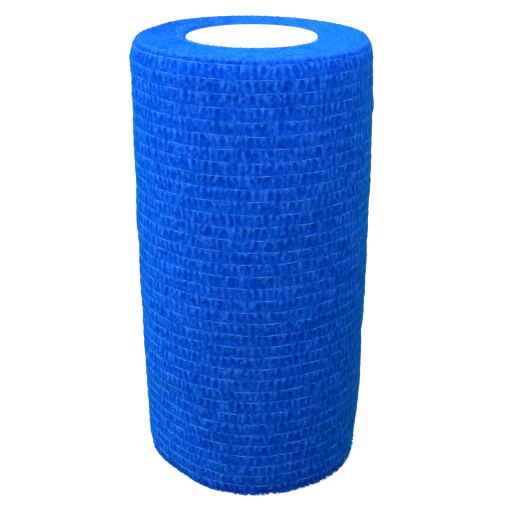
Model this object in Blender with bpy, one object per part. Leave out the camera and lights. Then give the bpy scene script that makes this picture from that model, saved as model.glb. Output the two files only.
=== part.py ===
"""A roll of cohesive bandage: a strip of crinkled nonwoven with elastic threads, wound on a white core.

Metres, +Z up. The roll stands on one wound end, and the origin is the middle of that end.
"""
import math

import bmesh
import bpy
from mathutils import Matrix, Vector

# Strip
STRIP_WIDTH = 0.100
STRIP_THICKNESS = 0.0006
THREAD_ROWS = 36
THREAD_PITCH = 0.00272
TOP_THREAD_BELOW_EDGE = 0.0017
THREAD_SINK = 0.00022
THREAD_GROOVE_WIDTH = 0.0009

# Winding; directions are turned from +X towards +Y
WAIST_RADIUS = 0.02625
WAIST_BULGE = 0.0005
WINDING_STEPS = 42
LAP_DIRECTION = math.radians(115)

# Rounding of the two wound ends: how far each reaches inwards and along the roll
TOP_RIM_INWARDS = 0.0029
TOP_RIM_ALONG = 0.0055
BOTTOM_RIM_INWARDS = 0.0006
BOTTOM_RIM_ALONG = 0.0077
RIM_ROUNDNESS = 2.3
CROWN_SHARES = (0.40, 0.60, 0.80, 1.00)
BORE_EDGE_SOFTNESS = 0.0006

# A stretch of the bottom rim that has been pressed in by handling
DENT_DIRECTION = math.radians(-145)
DENT_SPREAD = math.radians(28)
DENT_DEPTH = 0.0019

# Core
CORE_OUTER_RADIUS = 0.0140
CORE_BORE_RADIUS = 0.0127
CORE_RECESS = 0.0005
CORE_EDGE_BREAK = 0.0002
CORE_STEPS = 48
FIT_GAP = 0.0003

# Finishes: base colour, roughness, metallic
BANDAGE_FINISH = ((0.002, 0.085, 0.69, 1.0), 0.85, 0.0)
CORE_FINISH = ((0.88, 0.89, 0.90, 1.0), 0.55, 0.0)


def clear_scene():
    for old in list(bpy.data.objects):
        bpy.data.objects.remove(old)


def make_material(name, finish):
    colour, roughness, metallic = finish
    material = bpy.data.materials.new(name)
    material.use_nodes = True
    shader = material.node_tree.nodes["Principled BSDF"]
    shader.inputs["Base Color"].default_value = colour
    shader.inputs["Roughness"].default_value = roughness
    shader.inputs["Metallic"].default_value = metallic
    return material


# Profile of the roll, as (radius, height) pairs

def waist_radius(height):
    """Outer radius before the rims: slightly fuller half way up."""
    from_waist = (height - STRIP_WIDTH / 2) / (STRIP_WIDTH / 2)
    return WAIST_RADIUS - WAIST_BULGE * from_waist ** 2


def inset_share(into_rim):
    """Share of a rim's whole inset, at a share 0 to 1 of the way along it."""
    share = min(max(into_rim, 0.0), 1.0)
    return 1 - (1 - share ** RIM_ROUNDNESS) ** (1 / RIM_ROUNDNESS)


def into_bottom_rim(height):
    return 1 - height / BOTTOM_RIM_ALONG


def into_top_rim(height):
    return 1 - (STRIP_WIDTH - height) / TOP_RIM_ALONG


def wall_radius(height):
    """Outer radius at a height, with the rounding of both wound ends."""
    bottom = BOTTOM_RIM_INWARDS * inset_share(into_bottom_rim(height))
    top = TOP_RIM_INWARDS * inset_share(into_top_rim(height))
    return waist_radius(height) - bottom - top


def thread_heights():
    """Heights of the elastic threads, lowest first."""
    top = STRIP_WIDTH - TOP_THREAD_BELOW_EDGE
    return [top - THREAD_PITCH * row for row in reversed(range(THREAD_ROWS))]


def thread_rows():
    """The outer turn: a shallow groove where each elastic thread draws the cloth in."""
    points = []
    for thread in thread_heights():
        below = thread - THREAD_GROOVE_WIDTH / 2
        above = thread + THREAD_GROOVE_WIDTH / 2
        points += [(wall_radius(below), below),
                   (wall_radius(thread) - THREAD_SINK, thread),
                   (wall_radius(above), above)]
    return points


def crown(edge_height, inwards, along):
    """Corners of a rim's crown, from the wall in to the flat end. A negative along turns it to the top."""
    corners = []
    for share in CROWN_SHARES:
        rise = (1 - (1 - share) ** RIM_ROUNDNESS) ** (1 / RIM_ROUNDNESS)
        corners.append((waist_radius(edge_height) - inwards * share, edge_height + along * (1 - rise)))
    return corners


def roll_profile():
    """Closed outline of the roll's wall, from the bore along the bottom, up the outside and back."""
    bore = CORE_OUTER_RADIUS + FIT_GAP
    soft = BORE_EDGE_SOFTNESS
    bottom = crown(0.0, BOTTOM_RIM_INWARDS, BOTTOM_RIM_ALONG)
    top = crown(STRIP_WIDTH, TOP_RIM_INWARDS, -TOP_RIM_ALONG)
    return ([(bore, soft), (bore + soft, 0.0)] + bottom[::-1] + thread_rows() + top
            + [(bore + soft, STRIP_WIDTH), (bore, STRIP_WIDTH - soft)])


# Solids

def draw_outline(mesh, outline, direction):
    """Draws a closed outline in the upright plane that leaves the axis in a direction."""
    turn = Matrix.Rotation(direction, 3, "Z")
    corners = [mesh.verts.new(turn @ Vector((radius, 0.0, height))) for radius, height in outline]
    edges = [mesh.edges.new(pair) for pair in zip(corners, corners[1:] + corners[:1])]
    return corners + edges


def spin_about_axis(mesh, outline, sweep, steps):
    bmesh.ops.spin(mesh, geom=outline, cent=(0, 0, 0), axis=(0, 0, 1), dvec=(0, 0, 0),
                   angle=sweep, steps=steps, use_duplicate=False)


def close_seam(mesh):
    """Joins the first and the last outline of an open spin."""
    open_edges = [edge for edge in mesh.edges if len(edge.link_faces) == 1]
    bmesh.ops.bridge_loops(mesh, edges=open_edges)


def outer_turn_rise(direction, lap_sweep):
    """The outer turn rises by one strip thickness, from the middle of the lap's step round to it again."""
    turned = (direction - LAP_DIRECTION + lap_sweep / 2) % math.tau
    return STRIP_THICKNESS * (turned / math.tau - 0.5)


def dent(direction, height):
    """How far the pressed stretch of the bottom rim is pushed in."""
    aside = (direction - DENT_DIRECTION + math.pi) % math.tau - math.pi
    return DENT_DEPTH * math.exp(-(aside / DENT_SPREAD) ** 2) * inset_share(into_bottom_rim(height))


def shape_outside(mesh, lap_sweep):
    """Winds the outside of a round roll outwards and presses in its bottom rim. The bore stays round."""
    bore_edge = CORE_OUTER_RADIUS + FIT_GAP + BORE_EDGE_SOFTNESS
    for vertex in mesh.verts:
        if math.hypot(vertex.co.x, vertex.co.y) < bore_edge + STRIP_THICKNESS:
            continue
        direction = math.atan2(vertex.co.y, vertex.co.x)
        out = outer_turn_rise(direction, lap_sweep) - dent(direction, vertex.co.z)
        vertex.co.x += out * math.cos(direction)
        vertex.co.y += out * math.sin(direction)


def place(mesh, name, finish):
    """Makes an object of a finished mesh, smooth but for its sharp edges."""
    bmesh.ops.recalc_face_normals(mesh, faces=mesh.faces)
    data = bpy.data.meshes.new(name)
    mesh.to_mesh(data)
    mesh.free()
    data.shade_smooth()
    data.set_sharp_from_angle(angle=math.radians(40))
    data.materials.append(make_material(name, finish))
    bpy.context.scene.collection.objects.link(bpy.data.objects.new(name, data))


def make_roll():
    """The wound strip: one turned solid whose outer turn ends in a step, the cut end of the strip."""
    lap_sweep = STRIP_THICKNESS / WAIST_RADIUS
    mesh = bmesh.new()
    outline = draw_outline(mesh, roll_profile(), LAP_DIRECTION)
    spin_about_axis(mesh, outline, math.tau - lap_sweep, WINDING_STEPS)
    close_seam(mesh)
    shape_outside(mesh, lap_sweep)
    place(mesh, "bandage_roll", BANDAGE_FINISH)


def core_outline():
    """Cross-section of the core's wall, its four edges broken."""
    inner, outer, cut = CORE_BORE_RADIUS, CORE_OUTER_RADIUS, CORE_EDGE_BREAK
    bottom, top = CORE_RECESS, STRIP_WIDTH - CORE_RECESS
    return [(inner + cut, bottom), (outer - cut, bottom), (outer, bottom + cut), (outer, top - cut),
            (outer - cut, top), (inner + cut, top), (inner, top - cut), (inner, bottom + cut)]


def make_core():
    """The white tube that the strip is wound on, a little shorter than the strip is wide."""
    mesh = bmesh.new()
    outline = draw_outline(mesh, core_outline(), 0.0)
    spin_about_axis(mesh, outline, math.tau, CORE_STEPS)
    bmesh.ops.remove_doubles(mesh, verts=mesh.verts, dist=CORE_EDGE_BREAK / 10)
    place(mesh, "core", CORE_FINISH)


clear_scene()
make_roll()
make_core()
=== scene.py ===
import math

import bpy
import numpy as np
from mathutils import Matrix, Vector


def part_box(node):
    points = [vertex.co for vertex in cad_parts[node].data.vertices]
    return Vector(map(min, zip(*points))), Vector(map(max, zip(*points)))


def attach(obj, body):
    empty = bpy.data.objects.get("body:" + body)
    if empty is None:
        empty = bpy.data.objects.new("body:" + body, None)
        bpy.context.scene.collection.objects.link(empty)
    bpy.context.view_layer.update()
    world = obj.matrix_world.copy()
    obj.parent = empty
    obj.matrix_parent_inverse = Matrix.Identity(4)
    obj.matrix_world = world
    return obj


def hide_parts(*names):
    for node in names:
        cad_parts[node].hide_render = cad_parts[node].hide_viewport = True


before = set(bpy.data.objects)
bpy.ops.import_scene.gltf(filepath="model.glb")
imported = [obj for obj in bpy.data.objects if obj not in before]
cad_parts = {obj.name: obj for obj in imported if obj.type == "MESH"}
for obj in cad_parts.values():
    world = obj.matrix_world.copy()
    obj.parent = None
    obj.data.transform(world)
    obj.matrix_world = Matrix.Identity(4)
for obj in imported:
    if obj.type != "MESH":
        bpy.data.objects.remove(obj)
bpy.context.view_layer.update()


# Outer turn
# The last turn of the strip, wound once round the roll and cut across on the far side, where it laps the
# turn below. It is nonwoven cloth, gathered by elastic threads laid in along its length: under each thread
# the cloth hangs in thin upright folds with hollows between them.
roll_low, roll_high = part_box("bandage_roll")
ROLL_HEIGHT = roll_high.z - roll_low.z
WAIST_RADIUS = 0.02633
WAIST_BULGE = 0.0005
STRIP_THICKNESS = 0.0006
LAP_DIRECTION = math.radians(115)
TOP_RIM_INWARDS = 0.0029
TOP_RIM_ALONG = 0.0055
BOTTOM_RIM_INWARDS = 0.0006
BOTTOM_RIM_ALONG = 0.0077
RIM_ROUNDNESS = 2.3
TOP_LEAN = 0.011

# A stretch of the lower edge that handling has pressed in
DENT_DIRECTION = math.radians(-138.5)
DENT_SPREAD = math.radians(23.7)
DENT_DEPTH = 0.00147
DENT_ALONG = 0.025
DENT_SLOPE = 0.4

# Where handling has left the outer turn full or slack: direction in degrees, height, how far out, and how
# far it spreads round the roll, in degrees, and along it
LUMPS = (
    (-174, 0.0945, 0.00022, 14, 0.0022),
    (-174, 0.0680, -0.00020, 14, 0.0030),
    (-174, 0.0590, 0.00032, 14, 0.0030),
    (-174, 0.0525, -0.00016, 14, 0.0020),
    (-174, 0.0370, -0.00020, 14, 0.0030),
    (-6, 0.0945, -0.00024, 14, 0.0024),
    (-6, 0.0855, 0.00042, 12, 0.0016),
    (-6, 0.0710, 0.00022, 16, 0.0050),
    (-6, 0.0480, 0.00018, 16, 0.0040),
    (-6, 0.0300, -0.00022, 16, 0.0040),
    (-12, 0.0030, -0.00070, 14, 0.0060),
    (-46, 0.0000, 0.00028, 14, 0.0060),
    (157, 0.1000, -0.00100, 14, 0.0060),
    (88, 0.1000, 0.00090, 38, 0.0050),
    (22, 0.1000, 0.00035, 16, 0.0040),
)


def near(distance, reach):
    """1 where a distance is nothing, falling off smoothly to 0 some way past a reach."""
    return np.exp(-(distance / reach) ** 2)


def turned_from(middle, direction):
    """Angle from a middle direction to another one, at most half a turn either way."""
    return (direction - middle + math.pi) % math.tau - math.pi


def rim_share(into_rim):
    """Share of a rim's whole inset, at a share 0 to 1 of the way along it."""
    share = np.clip(into_rim, 0.0, 1.0)
    return 1 - (1 - share ** RIM_ROUNDNESS) ** (1 / RIM_ROUNDNESS)


def dent(direction, height):
    """How far the pressed stretch of the lower edge is pushed in."""
    aside = turned_from(DENT_DIRECTION, direction)
    return DENT_DEPTH * near(aside, DENT_SPREAD) * np.clip(1 - height / DENT_ALONG, 0, 1) ** DENT_SLOPE


def lumps(direction, height):
    """How far the outer turn bulges at a direction and height."""
    out = 0.0
    for degrees, middle, size, spread, reach in LUMPS:
        aside = turned_from(math.radians(degrees), direction)
        out = out + size * np.exp(-(aside / math.radians(spread)) ** 2 - ((height - middle) / reach) ** 2)
    return out


def outer_radius(share, height):
    """Radius of the outer turn at a share of the way round from the lap, before its folds."""
    from_waist = (height - ROLL_HEIGHT / 2) / (ROLL_HEIGHT / 2)
    top = TOP_RIM_INWARDS * rim_share(1 - (ROLL_HEIGHT - height) / TOP_RIM_ALONG)
    bottom = BOTTOM_RIM_INWARDS * rim_share(1 - height / BOTTOM_RIM_ALONG)
    wound = STRIP_THICKNESS * (share - 0.5)
    direction = LAP_DIRECTION + math.tau * share
    return (WAIST_RADIUS - WAIST_BULGE * from_waist ** 2 - top - bottom + wound
            - dent(direction, height) + lumps(direction, height))


def leaned(height, x):
    """Height once the strip has been wound a little askew, which tips the top end to the right."""
    return height - TOP_LEAN * x * (height / ROLL_HEIGHT) ** 2


# The turn is worked out in even columns round the roll. Its unevenness is drawn from one seeded run of
# chance, so that each run of the script winds the same roll.
COLUMNS = 1000
WAVE_PARTS = (1.0, 1.7, 2.9)
WAVE_SUM = 1.6
SEED = 36

chance = np.random.default_rng(SEED)
turn_length = math.tau * WAIST_RADIUS
turn_share = np.linspace(0.0, 1.0, COLUMNS + 1)
turn_direction = LAP_DIRECTION + math.tau * turn_share
along_strip = turn_share * turn_length


def slow_wave(position, wavelength):
    """Gentle unevenness along a line, within about -1 to 1, made of three sines of unlike length."""
    total = np.zeros_like(position)
    for part in WAVE_PARTS:
        total += np.sin(position * math.tau * part / wavelength + chance.uniform(0, math.tau)) / part
    return total / WAVE_SUM


def soft_noise(across, up, grain, grain_up=None):
    """Random values from -1 to 1 on a lattice, smoothly joined. It closes round the roll."""
    corners_round = round(turn_length / grain)
    x = across / turn_length * corners_round
    y = (up - up.min()) / (grain_up or grain)
    corners = chance.uniform(-1, 1, (int(y.max()) + 2, corners_round))
    column, row = np.floor(x).astype(int), np.floor(y).astype(int)
    x, y = x - column, y - row
    x, y = x * x * (3 - 2 * x), y * y * (3 - 2 * y)
    here, beside = column % corners_round, (column + 1) % corners_round
    below = corners[row, here] * (1 - x) + corners[row, beside] * x
    above = corners[row + 1, here] * (1 - x) + corners[row + 1, beside] * x
    return below * (1 - y) + above * y


# Thread heights: the threads are evenly spaced but for a slow drift, given as pairs of a thread, counted from
# the top, and the metres that it lies above its even place
THREADS = 36
THREAD_PITCH = 0.00272
TOP_THREAD_BELOW_EDGE = 0.0017
TOP_SELVEDGE_BELOW_EDGE = 0.00045
BOTTOM_SELVEDGE_HEIGHT = 0.00035
THREAD_DRIFT = ((0, 0.0), (5, -0.00003), (11, 0.00014), (18, 0.00028), (25, 0.00032), (28, 0.0),
                (32, -0.00026), (35, -0.00010))
THREAD_WANDER = 0.00013
WANDER_WAVE = 0.03


def thread_height(thread):
    """Height of an elastic thread, counted from the top; -1 and THREADS are the two selvedges."""
    if thread < 0:
        return ROLL_HEIGHT - TOP_SELVEDGE_BELOW_EDGE
    if thread >= THREADS:
        return BOTTOM_SELVEDGE_HEIGHT
    drift = np.interp(thread, *zip(*THREAD_DRIFT))
    return ROLL_HEIGHT - TOP_THREAD_BELOW_EDGE - thread * THREAD_PITCH + drift


# Folds and pits: a row runs from a thread, 0, down to the next, 1, and is worked out at these shares of the
# way. Folds are strongest and widest just under the thread, and some give out on the way down. Some of the
# hollows between two folds have a pit under the thread.
ROW_SAMPLES = (0.0, 0.06, 0.15, 0.26, 0.38, 0.51, 0.64, 0.77, 0.90)
FOLD_SPACING = 0.00150
FOLD_UNEVENNESS = 0.20
FOLDS_BEFORE = 3
FOLDS_SPARE = 12
FOLD_WIDTH = 0.00030
FOLD_WIDTHS = (0.75, 1.5)
FOLD_SQUARENESS = 3
FOLD_LEAN = 0.00040
FOLD_LEANS_ABOUT = 0.2
FOLD_BEND = 0.00022
FOLD_STRENGTHS = ((0.7, 1.0), (0.5, 1.0), (0.1, 1.0), (0.0, 0.9), (0.0, 0.7), (0.0, 0.6))
FLARE = 0.8
FLARE_BELOW_THREAD = 0.13
FLARE_REACH = 0.12
PIT_DEPTHS = (-0.15, 1.2)
PIT_NARROWNESS = 3
PIT_BELOW_THREAD = 0.20
PIT_REACH = (0.14, 0.42)


def folds_in_row():
    """How much of a fold stands, and of a pit lies, at each sample and column of one row, 0 to 1."""
    count = int(turn_length / FOLD_SPACING) + FOLDS_SPARE
    gaps = FOLD_SPACING * chance.uniform(1 - FOLD_UNEVENNESS, 1 + FOLD_UNEVENNESS, count)
    places = np.cumsum(gaps) - FOLDS_BEFORE * FOLD_SPACING
    lean = chance.normal(0, FOLD_LEAN, count)
    bend = chance.normal(0, FOLD_BEND, count)
    width = FOLD_WIDTH * chance.uniform(*FOLD_WIDTHS, count)
    strength = np.stack([chance.uniform(least, most, count) for least, most in FOLD_STRENGTHS])
    pit_depth = np.clip(chance.uniform(*PIT_DEPTHS, count), 0, 1)
    pit_reach = chance.uniform(*PIT_REACH, count)
    folds = np.zeros((len(ROW_SAMPLES), COLUMNS + 1))
    pits = np.zeros_like(folds)
    for index, down in enumerate(ROW_SAMPLES):
        centre = places + lean * (down - FOLD_LEANS_ABOUT) + bend * math.sin(math.pi * down)
        step = down * (len(strength) - 1)
        low = min(int(step), len(strength) - 2)
        stand = strength[low] + (strength[low + 1] - strength[low]) * (step - low)
        flare = width * (1.0 + FLARE * near(down - FLARE_BELOW_THREAD, FLARE_REACH))
        order = np.argsort(centre)
        nearest = np.searchsorted(centre[order], along_strip)
        missing = np.ones(COLUMNS + 1)
        for beside in (-2, -1, 0, 1):
            fold = order[np.clip(nearest + beside, 0, count - 1)]
            aside = np.abs((along_strip - centre[fold]) / flare[fold])
            missing *= 1 - stand[fold] * np.exp(-aside ** FOLD_SQUARENESS)
        folds[index] = 1 - missing
        before, after = order[nearest - 1], order[nearest]
        across_gap = np.clip((along_strip - centre[before]) / (centre[after] - centre[before]), 0, 1)
        pits[index] = (pit_depth[before] * np.sin(math.pi * across_gap) ** PIT_NARROWNESS
                       * near(down - PIT_BELOW_THREAD, pit_reach[before]))
    return folds, pits


# Down a row, from a thread to the next: how deep the hollows lie, how many spots are pitted and how much
# fluff the folds carry. The selvedge above the top thread is nearly flat at its free edge, and one more line
# of points ends the lower selvedge.
FLOOR_SHAPE = ((0.0, 1.0), (0.4, 1.0), (0.8, 0.92), (1.0, 0.95))
SELVEDGE_FLOOR_SHAPE = ((0.0, 0.0), (0.3, 0.14), (0.5, 0.50), (0.75, 0.95), (0.92, 1.0), (1.0, 0.75))
SPOT_SHAPE = ((0.0, -0.8), (0.3, -0.5), (0.5, -0.1), (1.0, -0.1))
TUFT_SHAPE = ((0.0, 0.5), (0.1, 1.0), (0.4, 0.9), (0.7, 0.5), (1.0, 0.5))
BOTTOM_SELVEDGE = {"folds": 1.0, "floor": 0.0, "pits": 0.0, "spots": -0.5, "tufts": 0.5}

# Creases wander across a row, and take over where the folds are slack
CREASES_DOWN = 2.0
CREASE_GRAIN = 0.00085
CREASE_WIDTH = 0.24
CREASE_STRENGTH = 0.75
CREASE_WARP = 0.00016
WARP_GRAIN = 0.0009
FIRMNESS = 0.85
FIRMNESS_CHANGE = 0.70
FIRMNESS_GRAIN = 0.0006
SLACK_FROM = 1.25

# Relief of the cloth in metres, and the grain of each kind of unevenness
HOLLOW_DEPTH = 0.00016
PATCH_DEPTH = 0.95
PATCH_CHANGE = 0.35
PATCH_LIMITS = (0.5, 1.3)
PATCH_GRAIN = 0.006
PIT_DEPTH = 0.00006
SPOT_DEPTH = 0.7
SPOT_CHANGE = 1.5
SPOT_GRAIN = 0.0006
CRUMPLE_DEPTH = 0.00003
CRUMPLE_GRAIN = 0.00055
TUFT_COVER = 0.65
TUFT_CHANGE = 1.2
TUFT_GRAIN = 0.00065
SWELL = 0.00012
SWELL_GRAIN = 0.0035

# The two selvedges are frilled, and the lower one is frayed on the right
FRILL = 0.00014
FRAYED_FRILL = 0.00044
FRILL_GRAIN = 0.00055
FRILL_REACH = 0.0011
FRAYED_DIRECTION = math.radians(-50)
FRAYED_FROM_TO = (0.3, 0.8)

# Painted shade of the hollows, 0 on the crest of a fold and 1 in the deepest pit: hollows, pits and deeper
# patches are painted darker, and higher crumples lighter. At the right front the painted shades are evened
# out, closer together, the foot is painted darker, and the top edge is painted darker on the side away from
# the painted light.
HOLLOW_SHADES = ((0.0, 0.0), (0.5, 0.44), (1.0, 0.65))
PIT_SHADE = 0.55
PATCH_SHADE = 0.10
CRUMPLE_SHADE = 0.12
SHADE_EVENED = 0.17
SHADE_EVENED_DIRECTION = math.radians(-54)
SHADE_EVENED_SPREAD = math.radians(22)
FOOT_SHADE = 0.18
FOOT_SHADE_REACH = 0.0028
RIM_SHADE = 0.26
RIM_SHADE_REACH = 0.0012
PAINTED_LIGHT_DIRECTION = math.radians(-25)


def outer_turn_cloth():
    """Height, relief, swell, painted shade and tufts of the outer turn at each sample and column."""
    heights, folds, floors, levels, pits, spotted, tufted = [], [], [], [], [], [], []
    for row in range(-1, THREADS):
        top, bottom = thread_height(row), thread_height(row + 1)
        standing, sunken = folds_in_row()
        wander = THREAD_WANDER * slow_wave(along_strip, WANDER_WAVE) * (0 <= row)
        for index, down in enumerate(ROW_SAMPLES):
            heights.append(top + (bottom - top) * down + wander)
            folds.append(standing[index])
            floors.append(np.interp(down, *zip(*(SELVEDGE_FLOOR_SHAPE if row < 0 else FLOOR_SHAPE))))
            levels.append((row + 1) * (CREASES_DOWN + 1) + down * CREASES_DOWN)
            pits.append(sunken[index])
            spotted.append(np.interp(down, *zip(*SPOT_SHAPE)))
            tufted.append(np.interp(down, *zip(*TUFT_SHAPE)))
    heights.append(np.full(COLUMNS + 1, BOTTOM_SELVEDGE_HEIGHT))
    folds.append(np.full(COLUMNS + 1, BOTTOM_SELVEDGE["folds"]))
    floors.append(BOTTOM_SELVEDGE["floor"])
    levels.append((THREADS + 1) * (CREASES_DOWN + 1))
    pits.append(np.full(COLUMNS + 1, BOTTOM_SELVEDGE["pits"]))
    spotted.append(BOTTOM_SELVEDGE["spots"])
    tufted.append(BOTTOM_SELVEDGE["tufts"])
    heights, folds, pits = np.array(heights), np.array(folds), np.array(pits)
    floors, spotted, tufted = (np.array(down)[:, None] for down in (floors, spotted, tufted))
    across = np.broadcast_to(along_strip, heights.shape)
    levels = np.broadcast_to(np.array(levels)[:, None], heights.shape)

    warp = CREASE_WARP * soft_noise(across, heights, WARP_GRAIN)
    creases = near(soft_noise(across + warp, levels, CREASE_GRAIN, 1.0), CREASE_WIDTH)
    firmness = FIRMNESS + FIRMNESS_CHANGE * soft_noise(across, heights, FIRMNESS_GRAIN)
    creased = CREASE_STRENGTH * creases * np.clip(SLACK_FROM - firmness, 0, 1)
    folds = 1 - (1 - folds * np.clip(firmness, 0, 1)) * (1 - creased)
    patch = np.clip(PATCH_DEPTH + PATCH_CHANGE * soft_noise(across, heights, PATCH_GRAIN), *PATCH_LIMITS)
    crumple = soft_noise(across, heights, CRUMPLE_GRAIN)
    fluffy = TUFT_COVER + TUFT_CHANGE * soft_noise(across, heights, TUFT_GRAIN)
    tufts = folds * tufted * np.clip(fluffy, 0, 1)

    swell = SWELL * soft_noise(across, heights, SWELL_GRAIN)
    frayed = np.interp(np.cos(turn_direction - FRAYED_DIRECTION), FRAYED_FROM_TO, (FRILL, FRAYED_FRILL))
    frill = np.where(heights < ROLL_HEIGHT / 2, frayed, FRILL)
    from_edge = np.minimum(heights, ROLL_HEIGHT - heights)
    swell = swell + frill * soft_noise(across, heights, FRILL_GRAIN) * near(from_edge, FRILL_REACH)

    depth = floors * (1 - folds)
    spots = np.clip(spotted + SPOT_CHANGE * soft_noise(across, heights, SPOT_GRAIN), 0, 1)
    pits = depth * np.maximum(pits, SPOT_DEPTH * spots)
    relief = -HOLLOW_DEPTH * depth * patch - PIT_DEPTH * pits + CRUMPLE_DEPTH * crumple + swell

    # Painted shade: darker with the depth of the folds' hollows and pits and in deeper patches, lighter on
    # higher crumples
    painted_shade_and_blotches = (np.interp(depth, *zip(*HOLLOW_SHADES)) + PIT_SHADE * pits
              + PATCH_SHADE * (patch - PATCH_DEPTH) - CRUMPLE_SHADE * crumple)
    # Painted shade evened out towards its mean at the right front
    shade_evened = SHADE_EVENED * near(turned_from(SHADE_EVENED_DIRECTION, turn_direction), SHADE_EVENED_SPREAD)
    painted_shade_and_blotches += shade_evened * (painted_shade_and_blotches.mean() - painted_shade_and_blotches)
    # Painted shade at the foot of the roll, where it meets the floor
    painted_shade_and_blotches += FOOT_SHADE * near(heights, FOOT_SHADE_REACH)
    # Painted shade along the top edge, strongest on the side away from the painted light
    away_from_painted_light = (1 - np.cos(turn_direction - PAINTED_LIGHT_DIRECTION)) / 2
    painted_shade_and_blotches += RIM_SHADE * away_from_painted_light * near(ROLL_HEIGHT - heights, RIM_SHADE_REACH)
    return heights, relief, swell, painted_shade_and_blotches, tufts


wall_heights, wall_relief, wall_swell, wall_painted_shade, wall_tufts = outer_turn_cloth()

# Colour of the cloth from the crest of a fold, 0, to the deepest of the hollows, 1, darker with painted
# shade, and of the fibres that lie on top
CLOTH_BLUES = (
    (0.0, (0.022, 0.185, 0.970, 1)),
    (0.25, (0.008, 0.127, 0.825, 1)),
    (0.5, (0.0015, 0.085, 0.685, 1)),
    (0.75, (0.0001, 0.056, 0.580, 1)),
    (1.0, (0.0, 0.033, 0.500, 1)),
)
FIBRE_PALE = (0.045, 0.285, 1.000, 1)
CLOTH_ROUGHNESS = 0.9
FUZZ_SHEEN = 0.42
FUZZ_ROUGHNESS = 0.30
FUZZ_TINT = (0.0, 0.62, 0.75, 1)

# Web of bonded fibres: how fine its meshes, streaks and spots are, in cells a metre, and how strong each is
FIBRE_MESH_SCALE = 4200
FIBRE_LINE_WIDTH = 0.22
FIBRE_LINE_HEIGHT = 0.5
FIBRE_STREAK_SCALE = 2600
STREAK_DETAIL = 3.0
STREAK_ROUGHNESS = 0.65
TOP_FIBRES_FROM_TO = (0.35, 0.65)
MOTTLE_SCALE = 3400
MOTTLE_DETAIL = 2.0
MOTTLE_ROUGHNESS = 0.9
MOTTLE_FROM_TO = (0.3, 0.7)
MOTTLE_STRENGTH = 0.42
FIBRE_BUMP = 0.00003


def add_noise(nodes, links, detail=2.0, roughness=0.5):
    """A noise pattern that stays with the piece, its scale still to be set."""
    place = nodes.new("ShaderNodeTexCoord")
    noise = nodes.new("ShaderNodeTexNoise")
    noise.inputs["Detail"].default_value = detail
    noise.inputs["Roughness"].default_value = roughness
    links.new(place.outputs["Object"], noise.inputs["Vector"])
    return noise


def add_stretch(nodes, links, value, taken, given=(0.0, 1.0)):
    """Stretches a value so that the range taken becomes the range given."""
    stretch = nodes.new("ShaderNodeMapRange")
    stretch.inputs["From Min"].default_value, stretch.inputs["From Max"].default_value = taken
    stretch.inputs["To Min"].default_value, stretch.inputs["To Max"].default_value = given
    links.new(value, stretch.inputs["Value"])
    return stretch.outputs["Result"]


def add_scaled_sum(nodes, links, value, factor, added):
    """A value times a factor, plus another value."""
    total = nodes.new("ShaderNodeMath")
    total.operation = "MULTIPLY_ADD"
    total.inputs[1].default_value = factor
    links.new(value, total.inputs[0])
    links.new(added, total.inputs[2])
    return total.outputs["Value"]


def fibre_web_group():
    """Randomly bonded fibres.

    It gives their height, a mask of those on top, 0 to 1, and thick and thin spots, -1 to 1.
    """
    web = bpy.data.node_groups.new("fibre_web", "ShaderNodeTree")
    for name in ("Mesh Scale", "Streak Scale", "Mottle Scale"):
        web.interface.new_socket(name, in_out="INPUT", socket_type="NodeSocketFloat")
    for name in ("Height", "Top Fibres", "Mottle"):
        web.interface.new_socket(name, in_out="OUTPUT", socket_type="NodeSocketFloat")
    nodes, links = web.nodes, web.links
    inputs, outputs = nodes.new("NodeGroupInput"), nodes.new("NodeGroupOutput")

    streaks = add_noise(nodes, links, STREAK_DETAIL, STREAK_ROUGHNESS)
    links.new(inputs.outputs["Streak Scale"], streaks.inputs["Scale"])
    place = nodes.new("ShaderNodeTexCoord")
    cells = nodes.new("ShaderNodeTexVoronoi")
    cells.feature = "DISTANCE_TO_EDGE"
    links.new(place.outputs["Object"], cells.inputs["Vector"])
    links.new(inputs.outputs["Mesh Scale"], cells.inputs["Scale"])
    lines = add_stretch(nodes, links, cells.outputs["Distance"], (0.0, FIBRE_LINE_WIDTH), (1.0, 0.0))
    height = add_scaled_sum(nodes, links, lines, FIBRE_LINE_HEIGHT, streaks.outputs["Fac"])
    links.new(height, outputs.inputs["Height"])
    on_top = add_stretch(nodes, links, streaks.outputs["Fac"], TOP_FIBRES_FROM_TO)
    links.new(on_top, outputs.inputs["Top Fibres"])

    spots = add_noise(nodes, links, MOTTLE_DETAIL, MOTTLE_ROUGHNESS)
    links.new(inputs.outputs["Mottle Scale"], spots.inputs["Scale"])
    mottle = add_stretch(nodes, links, spots.outputs["Fac"], MOTTLE_FROM_TO, (-1.0, 1.0))
    links.new(mottle, outputs.inputs["Mottle"])
    return web


fibre_web = fibre_web_group()


def plain_material(name, roughness, specular=0.5):
    """A new material and its shader."""
    material = bpy.data.materials.new(name)
    material.use_nodes = True
    shader = material.node_tree.nodes["Principled BSDF"]
    shader.inputs["Roughness"].default_value = roughness
    shader.inputs["Specular IOR Level"].default_value = specular
    return material, shader


def add_fuzz(shader):
    """The sheen of the short fibres that cloth and threads are covered with."""
    shader.inputs["Sheen Weight"].default_value = FUZZ_SHEEN
    shader.inputs["Sheen Roughness"].default_value = FUZZ_ROUGHNESS
    shader.inputs["Sheen Tint"].default_value = FUZZ_TINT


def add_bump(nodes, links, height, distance, shader):
    """Raises a fine relief on a shader, by a pattern's height."""
    bump = nodes.new("ShaderNodeBump")
    bump.inputs["Distance"].default_value = distance
    links.new(height, bump.inputs["Height"])
    links.new(bump.outputs["Normal"], shader.inputs["Normal"])


def read_mask(nodes, name):
    """The values of one of the piece's own masks."""
    mask = nodes.new("ShaderNodeAttribute")
    mask.attribute_name = name
    return mask.outputs["Fac"]


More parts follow.
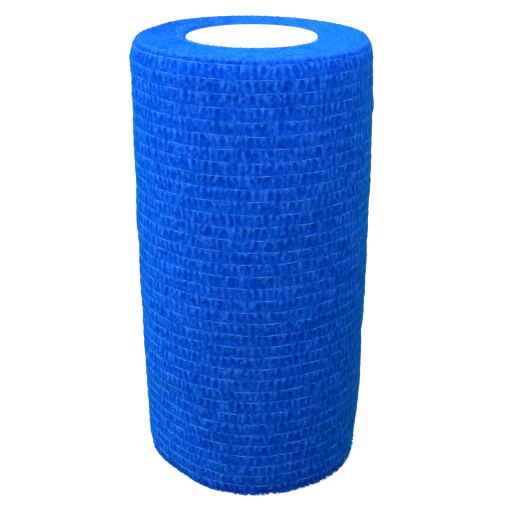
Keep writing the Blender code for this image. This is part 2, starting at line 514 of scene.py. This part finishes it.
def cloth_material(name, fibre_blue):
    """Matt fibrous cloth: paler on its folds and darker in its hollows by painted shade, with the sheen of
    its loose fibres.
    """
    material, shader = plain_material(name, CLOTH_ROUGHNESS, specular=0.0)
    nodes, links = material.node_tree.nodes, material.node_tree.links
    add_fuzz(shader)

    web = nodes.new("ShaderNodeGroup")
    web.node_tree = fibre_web
    web.inputs["Mesh Scale"].default_value = FIBRE_MESH_SCALE
    web.inputs["Streak Scale"].default_value = FIBRE_STREAK_SCALE
    web.inputs["Mottle Scale"].default_value = MOTTLE_SCALE

    blue = nodes.new("ShaderNodeValToRGB")
    blue.color_ramp.elements[0].color = CLOTH_BLUES[0][1]
    blue.color_ramp.elements[1].color = CLOTH_BLUES[-1][1]
    for depth_share, colour in CLOTH_BLUES[1:-1]:
        blue.color_ramp.elements.new(depth_share).color = colour
    # The blue follows the mask of painted shade, shifted by random thick and thin spots
    mottled = add_scaled_sum(nodes, links, web.outputs["Mottle"], MOTTLE_STRENGTH, read_mask(nodes, "painted_shade_and_blotches"))
    links.new(mottled, blue.inputs["Fac"])

    shown = nodes.new("ShaderNodeMath")
    shown.operation = "MULTIPLY"
    links.new(web.outputs["Top Fibres"], shown.inputs[0])
    links.new(read_mask(nodes, "fluff"), shown.inputs[1])
    fibred = nodes.new("ShaderNodeMix")
    fibred.data_type = "RGBA"
    fibred.inputs[7].default_value = fibre_blue
    links.new(shown.outputs["Value"], fibred.inputs["Factor"])
    links.new(blue.outputs["Color"], fibred.inputs[6])
    links.new(fibred.outputs[2], shader.inputs["Base Color"])
    add_bump(nodes, links, web.outputs["Height"], FIBRE_BUMP, shader)
    return material


bandage_cloth = cloth_material("bandage_cloth", FIBRE_PALE)


def add_mask(piece, name, values):
    """Gives a piece a mask: one value from 0 to 1 for each of its points."""
    mask = piece.data.attributes.new(name, "FLOAT", "POINT")
    mask.data.foreach_set("value", np.clip(values, 0, 1))


def points_of(piece):
    """The points of a piece as rows of x, y and z."""
    flat = np.zeros(len(piece.data.vertices) * 3)
    piece.data.vertices.foreach_get("co", flat)
    return flat.reshape(-1, 3)


def lay_points(piece, radius, direction, height, raised=0.0):
    """Moves the points of a piece to their places round the roll."""
    x, y = radius * np.cos(direction), radius * np.sin(direction)
    piece.data.vertices.foreach_set("co", np.stack([x, y, leaned(height, x) + raised], axis=1).ravel())


def grid_of(name, columns, rows):
    """A flat grid, with the column and row of each of its points, both counted from 0."""
    bpy.ops.object.select_all(action="DESELECT")
    bpy.ops.mesh.primitive_grid_add(x_subdivisions=columns - 1, y_subdivisions=rows - 1, size=1)
    piece = bpy.context.object
    piece.name = name
    flat = points_of(piece) + 0.5
    column = np.rint(flat[:, 0] * (columns - 1)).astype(int)
    row = np.rint(flat[:, 1] * (rows - 1)).astype(int)
    return piece, column, row


def dress(piece, cloth, painted_shade_and_blotches, fluff):
    """Gives a wound cloth piece its two masks, its material and its place in the frame."""
    add_mask(piece, "painted_shade_and_blotches", painted_shade_and_blotches)
    add_mask(piece, "fluff", fluff)
    piece.data.update()
    bpy.ops.object.shade_smooth()
    piece.data.materials.append(cloth)
    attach(piece, "root")
    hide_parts("bandage_roll")


# The turn is wound in four pieces, one above the other. A few columns are added past its ends: its start is
# tucked under its cut end, whose slightly wavy edge drops to the turn below.
TURN_PIECES = 4
ROWS_A_PIECE = 9
TUCK_SHARES = (-0.0042, -0.0014)
TUCK_DROPS = (0.0007, 0.0002)
CUT_DROPS = (0.00006, 0.00030, 0.00062)
CUT_FROM_SHARE = 0.985
CUT_WANDER = 0.0016
CUT_WAVE = 0.006
CUT_STEP = 0.0003


def wind_piece(name, first, last):
    """Winds the samples from first to last round the roll as one piece of the outer turn."""
    columns = len(TUCK_SHARES) + COLUMNS + 1 + len(CUT_DROPS)
    piece, column, row = grid_of(name, columns, last - first + 1)
    sample = last - row
    share = np.concatenate([TUCK_SHARES, turn_share, np.ones(len(CUT_DROPS))])[column]
    drop = np.concatenate([TUCK_DROPS, np.zeros(COLUMNS + 1), CUT_DROPS])[column]
    share = share + cut_wander[sample] * np.clip((share - CUT_FROM_SHARE) / (1 - CUT_FROM_SHARE), 0, 1)
    source = np.clip(column - len(TUCK_SHARES), 0, COLUMNS)
    height = wall_heights[sample, source]
    radius = outer_radius(share, height) + wall_relief[sample, source] - drop
    lay_points(piece, radius, LAP_DIRECTION + math.tau * share, height)
    dress(piece, bandage_cloth, wall_painted_shade[sample, source], wall_tufts[sample, source])


cut_wander = CUT_WANDER * slow_wave(np.arange(len(wall_heights)) * CUT_STEP, CUT_WAVE)
samples_a_piece = ROWS_A_PIECE * len(ROW_SAMPLES)
last_sample = len(wall_heights) - 1
for number in range(TURN_PIECES):
    first = number * samples_a_piece
    last = last_sample if number == TURN_PIECES - 1 else first + samples_a_piece
    wind_piece(f"outer_turn_{number + 1}", first, last)


# Elastic threads
# Thirty-six covered elastic threads run round the strip, and show between its folds as broken pale lines.
# Each is one ring, laid in the outer turn and drawn in by its own pull.
THREAD_RADIUS = 0.00010
THREAD_SEGMENTS = 430
THREAD_SIDES = 3
THREAD_SUNK = 0.00010
THREAD_BELOW = 0.00006
THREAD_SWAY = 0.00003
SWAY_WAVE = 0.0045
THREAD_ROUGHNESS = 0.7
THREAD_BLUE = (0.001, 0.074, 0.720, 1)
THREAD_PALE = (0.055, 0.330, 1.0, 1)

# A thread lifts out of the cloth in long and short stretches, each a size and a wavelength, and is pale there
THREAD_LIFTS = ((0.55, 0.0100), (0.60, 0.0017))
MEAN_LIFT = 0.08
LIFT_HEIGHT = 0.00007
BARE_AT_REST = 0.31
BARE_BY_LIFT = 1.2

# On the lower right the threads are buried in the cloth, and the top one is bared on the left
BURIED = 0.62
BURIED_DIRECTION = math.radians(-22)
BURIED_SPREAD = math.radians(27)
BURIED_BY_HEIGHT = ((0.025, 1.0), (0.065, 0.4))
TOP_THREAD_LIFT = 0.9
TOP_THREAD_BARED = math.radians(-138)
TOP_THREAD_SPREAD = math.radians(38)


def two_blue_material(name, roughness, mask, deep, pale):
    """Matt fibre or thread, its blue taken from deep to pale by a mask, and its shader."""
    material, shader = plain_material(name, roughness, specular=0.0)
    nodes, links = material.node_tree.nodes, material.node_tree.links
    colour = nodes.new("ShaderNodeMix")
    colour.data_type = "RGBA"
    colour.inputs[6].default_value = deep
    colour.inputs[7].default_value = pale
    links.new(read_mask(nodes, mask), colour.inputs["Factor"])
    links.new(colour.outputs[2], shader.inputs["Base Color"])
    return material, shader


def lay_thread(thread):
    """One thread, laid on the outer turn at its height."""
    bpy.ops.object.select_all(action="DESELECT")
    bpy.ops.mesh.primitive_torus_add(major_segments=THREAD_SEGMENTS, minor_segments=THREAD_SIDES,
                                     major_radius=WAIST_RADIUS, minor_radius=THREAD_RADIUS)
    ring = bpy.context.object
    x, y, z = points_of(ring).T
    direction = np.arctan2(y, x)
    share = ((direction - LAP_DIRECTION) % math.tau) / math.tau
    sample = (thread + 1) * len(ROW_SAMPLES)
    height = np.interp(share, turn_share, wall_heights[sample])
    sway = np.interp(share, turn_share, THREAD_SWAY * slow_wave(along_strip, SWAY_WAVE))
    long_lift, short_lift = (size * slow_wave(along_strip, wavelength) for size, wavelength in THREAD_LIFTS)
    lift = np.interp(share, turn_share, long_lift + short_lift + MEAN_LIFT)
    buried = near(turned_from(BURIED_DIRECTION, direction), BURIED_SPREAD)
    lift = lift - BURIED * buried * np.interp(height, *zip(*BURIED_BY_HEIGHT))
    if thread == 0:
        lift = lift + TOP_THREAD_LIFT * near(turned_from(TOP_THREAD_BARED, direction), TOP_THREAD_SPREAD)
    sunk = THREAD_SUNK - LIFT_HEIGHT * lift - np.interp(share, turn_share, wall_swell[sample])
    radius = outer_radius(share, height) - sunk + (np.hypot(x, y) - WAIST_RADIUS)
    lay_points(ring, radius, direction, height, sway + z - THREAD_BELOW)
    add_mask(ring, "bare", BARE_AT_REST + BARE_BY_LIFT * lift)
    return ring


rings = [lay_thread(thread) for thread in range(THREADS)]
bpy.ops.object.select_all(action="DESELECT")
for ring in rings:
    ring.select_set(True)
bpy.context.view_layer.objects.active = rings[0]
bpy.ops.object.join()
threads = rings[0]
threads.name = "elastic_threads"
bpy.ops.object.shade_smooth()
thread_cover, thread_shader = two_blue_material("elastic_thread", THREAD_ROUGHNESS, "bare",
                                                THREAD_BLUE, THREAD_PALE)
add_fuzz(thread_shader)
threads.data.materials.append(thread_cover)
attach(threads, "root")


# Wound ends
# Seen end on, the strip's selvedges lie side by side in a tight spiral from the core to the outer turn,
# crinkled by the threads beside them. They are paler than the wall, with painted light on one side, painted
# shade on the other, and painted shade by the core, in the gaps between the turns and in the troughs.
INNER_TURN_RADIUS = 0.01418
END_TURNS = 19
END_COLUMNS = 420
TOP_END_RADIUS = 0.0243
BOTTOM_END_RADIUS = 0.0249
END_SLOPE_FROM = 0.0168
END_SLOPE_DROP = 0.0006
END_SUNK = 0.00010
END_CLEARANCE = 0.00002

# Cross-section of one turn's edge: shares of the way out to the next turn, and how far along the roll from
# the edge. Neighbours overlap below their edges, so that nothing shows between them.
TURN_SECTION = ((-0.12, -0.00080), (0.14, -0.00012), (0.36, 0.0), (0.64, 0.0), (0.86, -0.00012),
                (1.12, -0.00080))
CREST_ABOVE = -0.0005

# Unevenness of the edges, each a size in metres and a wavelength, and their blotches, each a strength and a
# grain
END_CRINKLES = ((0.00009, 0.0017), (0.00005, 0.0009))
END_FLUFFING = ((0.00007, 0.0021), (0.00005, 0.0012))
END_BLOTCHES = ((0.18, 0.0034), (0.20, 0.0011))
BLOTCH_RISE = 0.00012

# Painted light and shade by direction in degrees, then painted shade by the core and in the gaps between the
# turns
END_SHADES = ((-180, 0.14), (-160, 0.22), (-138, 0.31), (-120, 0.27), (-98, 0.17), (-80, 0.15), (-60, 0.09),
              (-40, -0.01), (-20, -0.07), (0, -0.06), (20, 0.0), (60, 0.10), (90, 0.14), (120, 0.18),
              (155, 0.20), (180, 0.14))
CORE_SHADE = 0.45
CORE_SHADE_TURNS = 1.2
GAP_SHADE = 0.30
GAP_SHADE_CHANGE = 0.60
GAP_SHADE_MOST = 0.9
GAP_WAVE = 0.019
GAP_SHADE_AWAY_TOWARD_LIGHT = (0.25, 1.0)
TROUGH_SHADE = 0.9

# Pale fibres on the edges, painted in more strongly towards the painted light, with brighter specks
FLUFF_AWAY_TOWARD_LIGHT = (0.02, 0.42)
SPECK_GRAIN = 0.0006
SPECK_CONTRAST = 2.4
SPECKS_FROM = 1.0
END_FIBRE_BLUE = (0.008, 0.335, 1.000, 1)
end_cloth = cloth_material("wound_end_cloth", END_FIBRE_BLUE)


def end_inset(radius, inwards, along):
    """How far a wound end lies inside the roll's full height at a radius."""
    share = np.clip((WAIST_RADIUS - WAIST_BULGE - radius) / inwards, 0.0, 1.0)
    rise = (1 - (1 - share) ** RIM_ROUNDNESS) ** (1 / RIM_ROUNDNESS)
    slope = np.clip((END_SLOPE_FROM - radius) / (END_SLOPE_FROM - INNER_TURN_RADIUS), 0, 1)
    return along * (1 - rise) + END_SLOPE_DROP * slope ** 2


def wind_end(name, top, end_radius):
    """The selvedges of all turns but the outer one, wound from the core outwards."""
    section = np.array(TURN_SECTION)
    columns = END_TURNS * END_COLUMNS + 1
    piece, column, lane = grid_of(name, columns, len(section))
    if top:
        lane = len(section) - 1 - lane
    turns = column / END_COLUMNS
    direction = LAP_DIRECTION + math.tau * turns
    pitch = (end_radius - INNER_TURN_RADIUS) / END_TURNS
    strip = np.arange(columns) * math.tau / END_COLUMNS * (INNER_TURN_RADIUS + end_radius) / 2
    crinkle = sum(size * slow_wave(strip, wavelength) for size, wavelength in END_CRINKLES)
    fluffing = sum(size * slow_wave(strip, wavelength) for size, wavelength in END_FLUFFING)
    across, sunk = section[lane, 0], section[lane, 1]
    on_crest = sunk > CREST_ABOVE
    radius = INNER_TURN_RADIUS + pitch * (turns - 0.5 + across) + crinkle[column]
    end_height = ROLL_HEIGHT if top else 0.0
    bulge = lumps(direction, end_height) - dent(direction, end_height)
    bulge = bulge * ((radius - INNER_TURN_RADIUS) / (end_radius - INNER_TURN_RADIUS)) ** 2
    inset = (end_inset(radius, TOP_RIM_INWARDS, TOP_RIM_ALONG) if top
             else end_inset(radius, BOTTOM_RIM_INWARDS, BOTTOM_RIM_ALONG))
    around = (turns % 1.0) * turn_length
    blotch = sum(strength * soft_noise(around, radius, grain) for strength, grain in END_BLOTCHES)
    inset = inset - sunk + END_SUNK + fluffing[column] * on_crest + BLOTCH_RISE * blotch
    height = ROLL_HEIGHT - inset if top else np.maximum(inset, END_CLEARANCE)
    lay_points(piece, radius + bulge, direction, height)

    # Painted shade beside the gaps, by the core and in the troughs, and painted light and shade by direction;
    # blotches add random tone
    gap = np.clip(GAP_SHADE + GAP_SHADE_CHANGE * slow_wave(strip, GAP_WAVE), 0, GAP_SHADE_MOST)[column]
    toward_painted_light = np.cos(direction - PAINTED_LIGHT_DIRECTION)
    by_core = CORE_SHADE * np.clip(1 - turns / CORE_SHADE_TURNS, 0, 1)
    beside_gap = (lane == 1) | (lane == len(section) - 2)
    painted_shade_and_blotches = np.interp(np.degrees(turned_from(0.0, direction)), *zip(*END_SHADES)) + blotch + by_core
    painted_shade_and_blotches += np.where(beside_gap, gap * np.interp(toward_painted_light, (-1, 1), GAP_SHADE_AWAY_TOWARD_LIGHT), 0.0)
    specks = np.clip(SPECK_CONTRAST * soft_noise(around, radius, SPECK_GRAIN) - SPECKS_FROM, 0, 1)
    # Pale fibres painted in more strongly towards the painted light, and random specks
    fluff = np.interp(toward_painted_light, (-1, 1), FLUFF_AWAY_TOWARD_LIGHT) + specks
    dress(piece, end_cloth, np.where(on_crest, painted_shade_and_blotches, TROUGH_SHADE), fluff * on_crest)


wind_end("wound_end_top", True, TOP_END_RADIUS)
wind_end("wound_end_bottom", False, BOTTOM_END_RADIUS)


# Loose fibres
# Short fibres stand away from the cloth: a fuzz at the roll's outline, thickest at the selvedges, round the
# core and along the frayed stretch of the lower edge. Pale tufts lie on the top end beside the core, and
# where the strip is cut across, the ends of its threads stick out.
FIBRE_BLUE = (0.001, 0.150, 0.420, 1)
TUFT_BLUE = (0.080, 0.430, 1.000, 1)
FIBRE_ROUGHNESS = 0.9
FIBRE_RADIUS = 0.000022
FIBRE_PALENESS = 0.5
ROOT_DEPTH = 0.00010
SHORTEST_SHARE = 0.5
LOWEST_TIP = 0.0001

# For each kind: how many, the band they grow in, the least and most reach, how far they stray from their way
WALL_FIBRES = 4200
WALL_MARGIN = 0.002
WALL_REACH = (0.0003, 0.0006)
WALL_STRAY = 0.9

RIM_FIBRES = 1500
RIM_BANDS = ((ROLL_HEIGHT - 0.0002, 0.0022, 0.8), (0.0004, 0.0015, 0.0))
RIM_REACH = (0.0004, 0.0009)
RIM_STRAY = 0.8

FRAYED_FIBRES = 420
FRAYED_SHARES = (0.43, 0.64)
FRAYED_HEIGHTS = (0.0001, 0.0008)
FRAYED_REACH = (0.0004, 0.0012)
FRAYED_STRAY = 0.6
FRAYED_RADIUS = 0.000060
FRAYED_PALENESS = 0.0

CORE_EDGE_FIBRES = 420
CORE_EDGE_FROM = 0.0143
CORE_EDGE_BAND = 0.0012
CORE_EDGE_BELOW_TOP = 0.0005
CORE_EDGE_INWARDS = 0.6
CORE_EDGE_UPWARDS = 0.5
CORE_EDGE_REACH = (0.0003, 0.0007)
CORE_EDGE_STRAY = 0.8
CORE_EDGE_RADIUS = 0.000040
CORE_EDGE_PALENESS = 0.8

END_TUFTS = 130
END_TUFT_DIRECTIONS = (130, 240)
END_TUFT_RADII = (0.0148, 0.0172)
END_TUFT_BELOW_TOP = 0.0001
END_TUFT_UPWARDS = 0.8
END_TUFT_REACH = (0.0003, 0.0006)
END_TUFT_RADIUS = 0.000085
END_TUFT_PALENESS = 1.0

FIBRES_A_CUT_THREAD = 7
CUT_THREAD_OUT = 0.00012
CUT_THREAD_REACH = (0.0006, 0.0014)
CUT_THREAD_STRAY = 0.25
CUT_THREAD_RADIUS = 0.000045
CUT_THREAD_PALENESS = 0.9


def on_wall(share, height):
    """Points just inside the crests of the outer turn, and the ways out and along at each."""
    direction = LAP_DIRECTION + math.tau * share
    out = np.stack([np.cos(direction), np.sin(direction), np.zeros_like(direction)], axis=1)
    along = np.stack([-np.sin(direction), np.cos(direction), np.zeros_like(direction)], axis=1)
    radius = outer_radius(share, height) - ROOT_DEPTH
    foot = np.column_stack([out[:, :2] * radius[:, None], leaned(height, out[:, 0] * radius)])
    return foot, out, along


def unit(ways):
    """Ways of length 1."""
    return ways / np.linalg.norm(ways, axis=1)[:, None]


def fibre_spikes():
    """Foot, way to the tip, thickness and paleness of every loose fibre."""
    feet, ways, radii, tints = [], [], [], []

    def sow(foot, way, reaches, radius=FIBRE_RADIUS, pale=FIBRE_PALENESS):
        reach = chance.uniform(*reaches, len(foot)) * chance.uniform(SHORTEST_SHARE, 1.0, len(foot))
        feet.append(foot)
        ways.append(unit(way) * reach[:, None])
        radii.append(np.full(len(foot), radius))
        tints.append(np.full(len(foot), pale))

    def stray(count):
        return chance.normal(0, 1, (count, 3))

    height = chance.uniform(WALL_MARGIN, ROLL_HEIGHT - WALL_MARGIN, WALL_FIBRES)
    foot, out, _ = on_wall(chance.uniform(0, 1, WALL_FIBRES), height)
    sow(foot, out + WALL_STRAY * stray(WALL_FIBRES), WALL_REACH)

    for rim_height, depth, upward in RIM_BANDS:
        height = np.abs(rim_height - chance.uniform(0, depth, RIM_FIBRES))
        foot, out, _ = on_wall(chance.uniform(0, 1, RIM_FIBRES), height)
        sow(foot, out + (0, 0, upward) + RIM_STRAY * stray(RIM_FIBRES), RIM_REACH)

    share = chance.uniform(*FRAYED_SHARES, FRAYED_FIBRES)
    foot, out, _ = on_wall(share, chance.uniform(*FRAYED_HEIGHTS, FRAYED_FIBRES))
    sow(foot, out + FRAYED_STRAY * stray(FRAYED_FIBRES), FRAYED_REACH, FRAYED_RADIUS, FRAYED_PALENESS)

    turned = chance.uniform(0, math.tau, CORE_EDGE_FIBRES)
    inwards = np.stack([-np.cos(turned), -np.sin(turned), np.zeros_like(turned)], axis=1)
    from_axis = CORE_EDGE_FROM + chance.uniform(0, CORE_EDGE_BAND, CORE_EDGE_FIBRES)
    foot = -inwards * from_axis[:, None] + (0, 0, ROLL_HEIGHT - CORE_EDGE_BELOW_TOP)
    way = CORE_EDGE_INWARDS * inwards + (0, 0, CORE_EDGE_UPWARDS) + CORE_EDGE_STRAY * stray(CORE_EDGE_FIBRES)
    sow(foot, way, CORE_EDGE_REACH, CORE_EDGE_RADIUS, CORE_EDGE_PALENESS)

    turned = np.radians(chance.uniform(*END_TUFT_DIRECTIONS, END_TUFTS))
    from_axis = chance.uniform(*END_TUFT_RADII, END_TUFTS)
    x, y = from_axis * np.cos(turned), from_axis * np.sin(turned)
    foot = np.column_stack([x, y, leaned(np.full(END_TUFTS, ROLL_HEIGHT - END_TUFT_BELOW_TOP), x)])
    way = (1, 1, 0) * stray(END_TUFTS) + (0, 0, END_TUFT_UPWARDS)
    sow(foot, way, END_TUFT_REACH, END_TUFT_RADIUS, END_TUFT_PALENESS)

    height = np.repeat([thread_height(thread) for thread in range(THREADS)], FIBRES_A_CUT_THREAD)
    foot, out, along = on_wall(np.full(len(height), 1.0), height)
    way = along + CUT_THREAD_STRAY * stray(len(height))
    sow(foot + CUT_THREAD_OUT * out, way, CUT_THREAD_REACH, CUT_THREAD_RADIUS, CUT_THREAD_PALENESS)
    return np.concatenate(feet), np.concatenate(ways), np.concatenate(radii), np.concatenate(tints)


# Every fibre is a copy of one thin three-sided spike, laid from its foot to its tip
fibre_feet, fibre_ways, fibre_radii, fibre_tints = fibre_spikes()
fibre_ways[:, 2] = np.maximum(fibre_ways[:, 2], LOWEST_TIP - fibre_feet[:, 2])
bpy.ops.object.select_all(action="DESELECT")
bpy.ops.mesh.primitive_cone_add(vertices=3, radius1=1, radius2=0, depth=1)
fibres = bpy.context.object
fibres.name = "loose_fibres"
copies = fibres.modifiers.new("copies", "ARRAY")
copies.count = len(fibre_feet)
bpy.ops.object.modifier_apply(modifier="copies")
spike = points_of(fibres).reshape(len(fibre_feet), -1, 3)[0]
tip_share = spike[:, 2] + 0.5
upright = unit(fibre_ways)
beside = unit(np.cross(upright, chance.normal(0, 1, upright.shape)))
third = np.cross(upright, beside)
round_foot = spike[None, :, 0, None] * beside[:, None] + spike[None, :, 1, None] * third[:, None]
to_tip = tip_share[None, :, None] * fibre_ways[:, None]
laid = fibre_feet[:, None] + to_tip + fibre_radii[:, None, None] * round_foot
fibres.data.vertices.foreach_set("co", laid.ravel())
add_mask(fibres, "pale", np.repeat(fibre_tints, len(tip_share)))
fibres.data.update()
loose_fibre, _ = two_blue_material("loose_fibre", FIBRE_ROUGHNESS, "pale", FIBRE_BLUE, TUFT_BLUE)
fibres.data.materials.append(loose_fibre)
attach(fibres, "root")


# Core
# A plain matt white tube, cut square, that the strip is wound on. Its ends sit just inside the wound ends of
# the strip.
core_low, core_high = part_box("core")
CORE_RADIUS = (core_high.x - core_low.x) / 2
CORE_SIDES = 128
CORE_WALL = 0.0013
CORE_EDGE_BREAK = 0.0002
CORE_WHITE = (0.95, 0.95, 0.95, 1)
CORE_ROUGHNESS = 0.6
CORE_GRAIN_SCALE = 3000
CORE_GRAIN_BUMP = 0.00002


def core_material():
    """Matt white with a faint grain."""
    material, shader = plain_material("core_white", CORE_ROUGHNESS)
    nodes, links = material.node_tree.nodes, material.node_tree.links
    shader.inputs["Base Color"].default_value = CORE_WHITE
    grain = add_noise(nodes, links)
    grain.inputs["Scale"].default_value = CORE_GRAIN_SCALE
    add_bump(nodes, links, grain.outputs["Fac"], CORE_GRAIN_BUMP, shader)
    return material


bpy.ops.object.select_all(action="DESELECT")
bpy.ops.mesh.primitive_cylinder_add(vertices=CORE_SIDES, radius=CORE_RADIUS, depth=core_high.z - core_low.z,
                                    location=(0, 0, (core_high.z + core_low.z) / 2), end_fill_type="NOTHING")
core = bpy.context.object
core.name = "core_tube"
bpy.ops.object.transform_apply(location=True)
wall = core.modifiers.new("wall", "SOLIDIFY")
wall.thickness = CORE_WALL
wall.offset = -1
bpy.ops.object.modifier_apply(modifier="wall")
edge = core.modifiers.new("edge", "BEVEL")
edge.width = CORE_EDGE_BREAK
edge.segments = 3
edge.limit_method = "ANGLE"
bpy.ops.object.modifier_apply(modifier="edge")
bpy.ops.object.shade_smooth_by_angle(angle=math.radians(40))
core.data.materials.append(core_material())
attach(core, "root")
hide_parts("core")


# Floor, light and camera
# A plain pale floor under soft light from above, the front and the left, seen from a little above as in the
# photo. The floor and the surroundings are pale to the camera, and the cloth is lit by the lights alone.
FLOOR_RADIUS = 3.0
FLOOR_SIDES = 96
FLOOR_PALE = (0.5, 0.5, 0.5, 1)
FLOOR_ROUGHNESS = 0.9
SURROUNDINGS = (1, 1, 1, 1)
SURROUNDINGS_GLOW = 0.96

bpy.ops.object.select_all(action="DESELECT")
bpy.ops.mesh.primitive_circle_add(vertices=FLOOR_SIDES, radius=FLOOR_RADIUS, fill_type="NGON")
floor = bpy.context.object
floor.name = "floor"
floor.visible_diffuse = False
floor_paint, floor_shader = plain_material("floor_paint", FLOOR_ROUGHNESS)
floor_shader.inputs["Base Color"].default_value = FLOOR_PALE
floor_shader.inputs["Emission Color"].default_value = SURROUNDINGS
floor_shader.inputs["Emission Strength"].default_value = SURROUNDINGS_GLOW
floor.data.materials.append(floor_paint)

world = bpy.data.worlds.new("studio")
bpy.context.scene.world = world
world.use_nodes = True
background = world.node_tree.nodes["Background"]
background.inputs["Color"].default_value = SURROUNDINGS
background.inputs["Strength"].default_value = SURROUNDINGS_GLOW
world.cycles_visibility.diffuse = False
world.cycles_visibility.glossy = False

# Place, size, watts and colour of each light
LIGHTS = (
    ("left_high", (-0.35, -0.20, 0.40), 0.25, 1.05, (1.0, 1.0, 0.955)),
    ("left_high_near", (-0.20, -0.08, 0.25), 0.12, 0.21, (1.0, 1.0, 1.0)),
    ("left_side", (-0.58, 0.14, 0.15), 0.30, 3.0, (0.86, 1.0, 0.87)),
    ("front", (0.0, -0.80, 0.15), 0.40, 2.19, (0.905, 0.915, 1.0)),
    ("back", (0.10, 0.80, 0.04), 0.40, 1.3, (1.0, 1.0, 1.0)),
    ("right_side", (0.60, 0.05, 0.15), 0.30, 0.36, (1.0, 1.0, 0.62)),
    ("right_top_near", (0.11, 0.03, 0.22), 0.08, 0.083, (1.0, 1.0, 1.0)),
    ("right_front_near", (0.14, -0.10, 0.26), 0.10, 0.237, (0.958, 0.958, 1.0)),
    ("front_top_near", (0.0, -0.14, 0.26), 0.10, 0.222, (0.93, 0.95, 1.0)),
)


def add_light(name, place, size, watts, colour):
    """A square soft light that faces the middle of the roll."""
    lamp = bpy.data.lights.new(name, "AREA")
    lamp.size = size
    lamp.energy = watts
    lamp.color = colour
    holder = bpy.data.objects.new(name, lamp)
    holder.location = place
    aim = Vector((0, 0, ROLL_HEIGHT / 2)) - Vector(place)
    holder.rotation_euler = aim.to_track_quat("-Z", "Y").to_euler()
    bpy.context.scene.collection.objects.link(holder)


for light in LIGHTS:
    add_light(*light)

# The camera that fits the roll's outline in the photo, looking down and along +Y. Its angles are radians.
FOCAL_PIXELS = 951.8
PICTURE_PIXELS = 510
SENSOR_MILLIMETRES = 36
NEAREST_SEEN = 0.01
CAMERA_PLACE = (0.0, -0.20382, 0.13525)
CAMERA_PITCH = 0.4006
CAMERA_YAW = 0.0032
CAMERA_ROLL = -0.0012

sight = bpy.data.cameras.new("camera")
sight.sensor_width = SENSOR_MILLIMETRES
sight.lens = SENSOR_MILLIMETRES * FOCAL_PIXELS / PICTURE_PIXELS
sight.clip_start = NEAREST_SEEN
camera = bpy.data.objects.new("camera", sight)
forward = Vector((math.sin(CAMERA_YAW) * math.cos(CAMERA_PITCH),
                  math.cos(CAMERA_YAW) * math.cos(CAMERA_PITCH),
                  -math.sin(CAMERA_PITCH)))
level = Vector((math.cos(CAMERA_YAW), -math.sin(CAMERA_YAW), 0))
upward = level.cross(forward)
right = math.cos(CAMERA_ROLL) * level + math.sin(CAMERA_ROLL) * upward
up = right.cross(forward)
axes = Matrix((right, up, -forward)).transposed()
camera.matrix_world = Matrix.Translation(CAMERA_PLACE) @ axes.to_4x4()
bpy.context.scene.collection.objects.link(camera)
bpy.context.scene.camera = camera
bpy.context.scene.view_settings.view_transform = "Standard"
